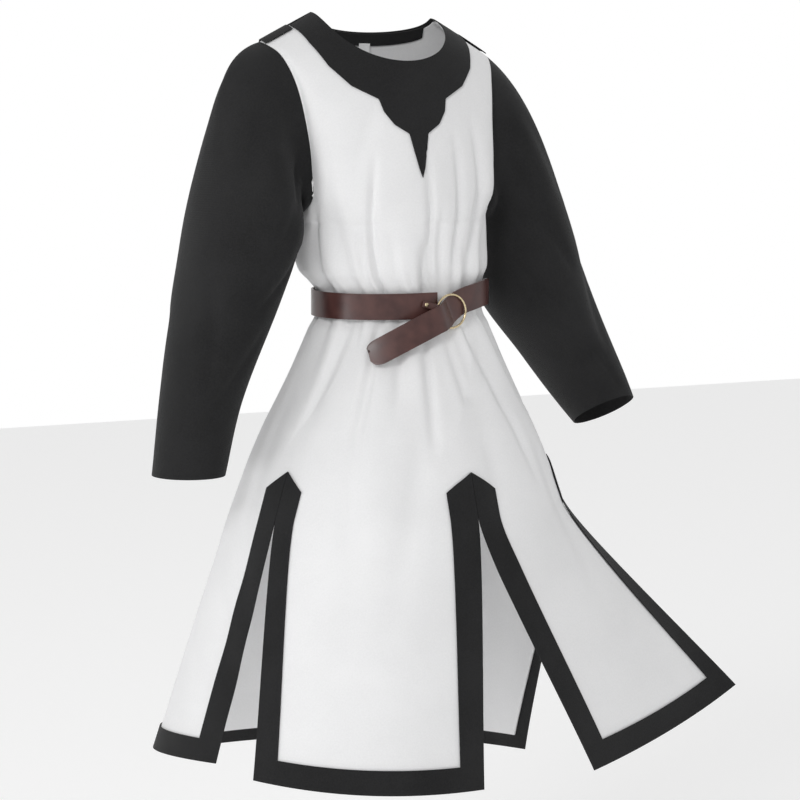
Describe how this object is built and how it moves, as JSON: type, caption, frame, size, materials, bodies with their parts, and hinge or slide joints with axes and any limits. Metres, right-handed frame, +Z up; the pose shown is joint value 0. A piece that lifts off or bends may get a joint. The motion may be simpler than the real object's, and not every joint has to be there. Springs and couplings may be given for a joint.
{
  "type": "viking tunic with belt",
  "caption": "Knee-length belted tunic with full black sleeves, a scalloped applied collar and a skirt slit into four bordered panels.",
  "frame": {"origin": "midpoint between the two neck points, where the wearer's shoulders carry the tunic", "axes": "+Z up, -Y out of the tunic's front, -X towards the wearer's right"},
  "size_m": [0.8972, 0.6467, 1.1518],
  "materials": {
    "white_cloth": "matt plain weave",
    "black_cloth": "matt plain weave",
    "brown_leather": "smooth, softly glossy",
    "pale_brass": "polished"
  },
  "bodies": {
    "root": {"front": "white_cloth", "back": "white_cloth", "sleeve_right": "black_cloth", "sleeve_left": "black_cloth", "collar_front": "black_cloth", "collar_back": "black_cloth", "shoulder_band_right": "black_cloth", "shoulder_band_left": "black_cloth", "neck_band_inside": "black_cloth", "neck_label": "white_cloth", "border_front": "black_cloth", "border_left": "black_cloth", "border_back": "black_cloth", "border_right": "black_cloth", "belt_strap": "brown_leather", "belt_ring": "pale_brass", "belt_keeper": "brown_leather", "belt_rivet": "pale_brass"}
  },
  "joints": []
}
